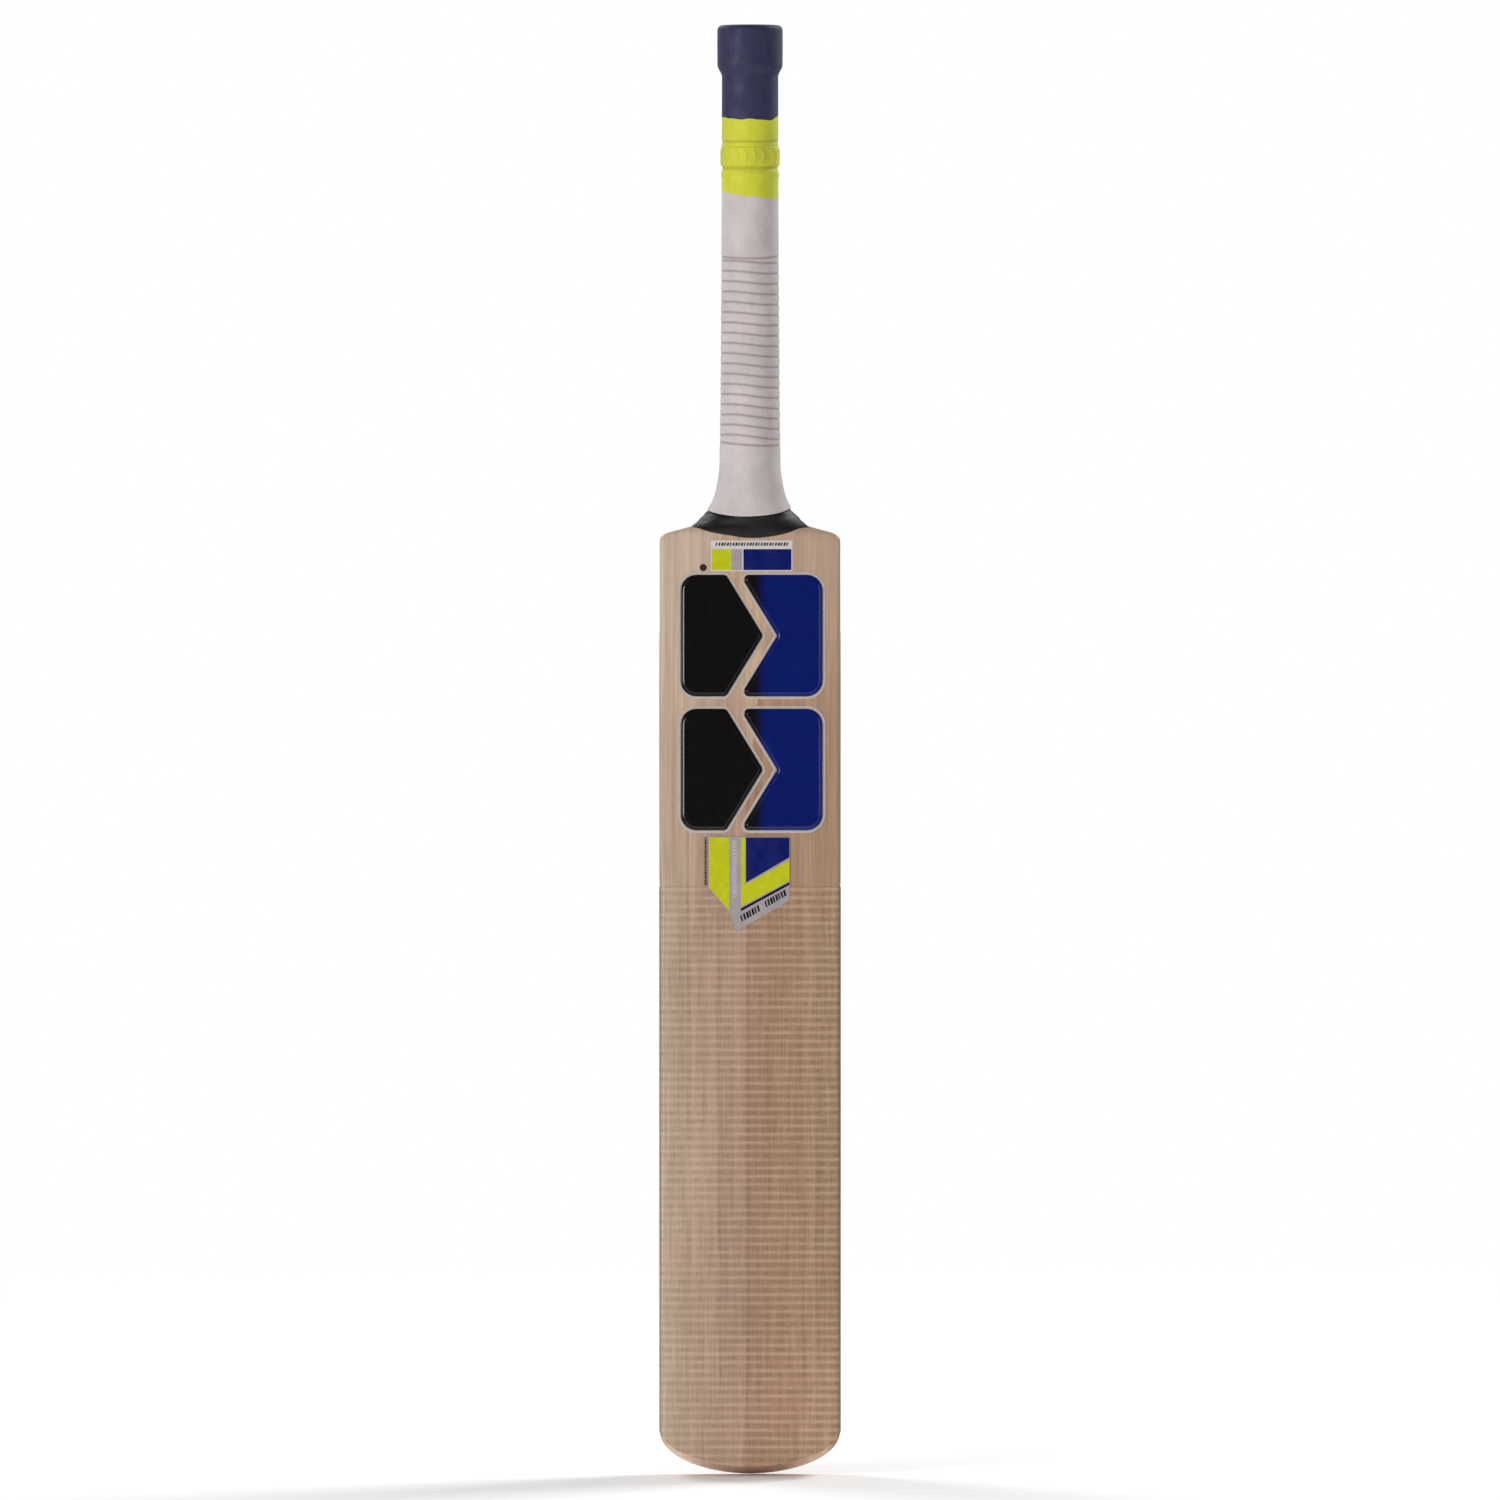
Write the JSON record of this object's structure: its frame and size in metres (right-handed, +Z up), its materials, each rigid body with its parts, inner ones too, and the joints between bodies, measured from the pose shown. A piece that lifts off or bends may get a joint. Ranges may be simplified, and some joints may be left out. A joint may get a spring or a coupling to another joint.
{
  "type": "cricket bat",
  "caption": "Cricket bat: willow blade with a spine, spliced cane handle, ribbed rubber grip with a knob, shoulder tape, thread-reinforced face sheet, printed labels and domed badges.",
  "frame": {"origin": "under the middle of the bat's box, at the lowest point of the toe", "axes": "+Z up the bat from toe to handle end, -Y out of the striking face, +X to the right as seen from the face"},
  "size_m": [0.1076, 0.0816, 0.8599],
  "materials": {
    "willow": "sanded and lightly oiled pale willow",
    "cane": "split cane strips, glued",
    "cane_middle": "split cane strips, glued",
    "spring_rubber": "thin rubber sheet",
    "twine": "waxed linen twine",
    "grip_navy": "matte dimpled rubber",
    "grip_lime": "matte moulded rubber",
    "grip_grey": "matte ribbed rubber",
    "black_tape": "wrinkled black vinyl tape",
    "thread_sheet": "clear film with pale reinforcing threads over the willow",
    "badge_black": "domed clear resin over black",
    "badge_blue": "domed clear resin over blue",
    "printed_label": "glossy printed film in yellow, blue, grey and black",
    "foil_label": "silver foil label",
    "badge_silver": "domed silver badge"
  },
  "bodies": {
    "root": {"blade": "willow", "cane_front_left": "cane", "cane_front_middle": "cane_middle", "cane_front_right": "cane", "cane_midfront_left": "cane", "cane_midfront_middle": "cane_middle", "cane_midfront_right": "cane", "cane_midback_left": "cane", "cane_midback_middle": "cane_middle", "cane_midback_right": "cane", "cane_back_left": "cane", "cane_back_middle": "cane_middle", "cane_back_right": "cane", "rubber_spring_front": "spring_rubber", "rubber_spring_middle": "spring_rubber", "rubber_spring_back": "spring_rubber", "twine_binding": "twine", "grip_top": "grip_navy", "grip_band": "grip_lime", "grip_sleeve": "grip_grey", "shoulder_tape": "black_tape", "face_sheet": "thread_sheet", "front_badge_upper_black": "badge_black", "front_badge_upper_blue": "badge_blue", "front_badge_lower_black": "badge_black", "front_badge_lower_blue": "badge_blue", "back_badge_upper_black": "badge_black", "back_badge_upper_blue": "badge_blue", "back_badge_lower_black": "badge_black", "back_badge_lower_blue": "badge_blue", "front_top_label": "printed_label", "front_lower_label": "printed_label", "back_top_label": "printed_label", "back_lower_label": "printed_label", "edge_label_left": "printed_label", "edge_label_right": "printed_label", "back_edge_label_left": "printed_label", "back_edge_label_right": "printed_label", "toe_label": "printed_label", "hologram_label": "foil_label", "toe_badge_left_outer": "badge_silver", "toe_badge_left_inner": "badge_silver", "toe_badge_right_inner": "badge_silver", "toe_badge_right_outer": "badge_silver"}
  },
  "joints": []
}
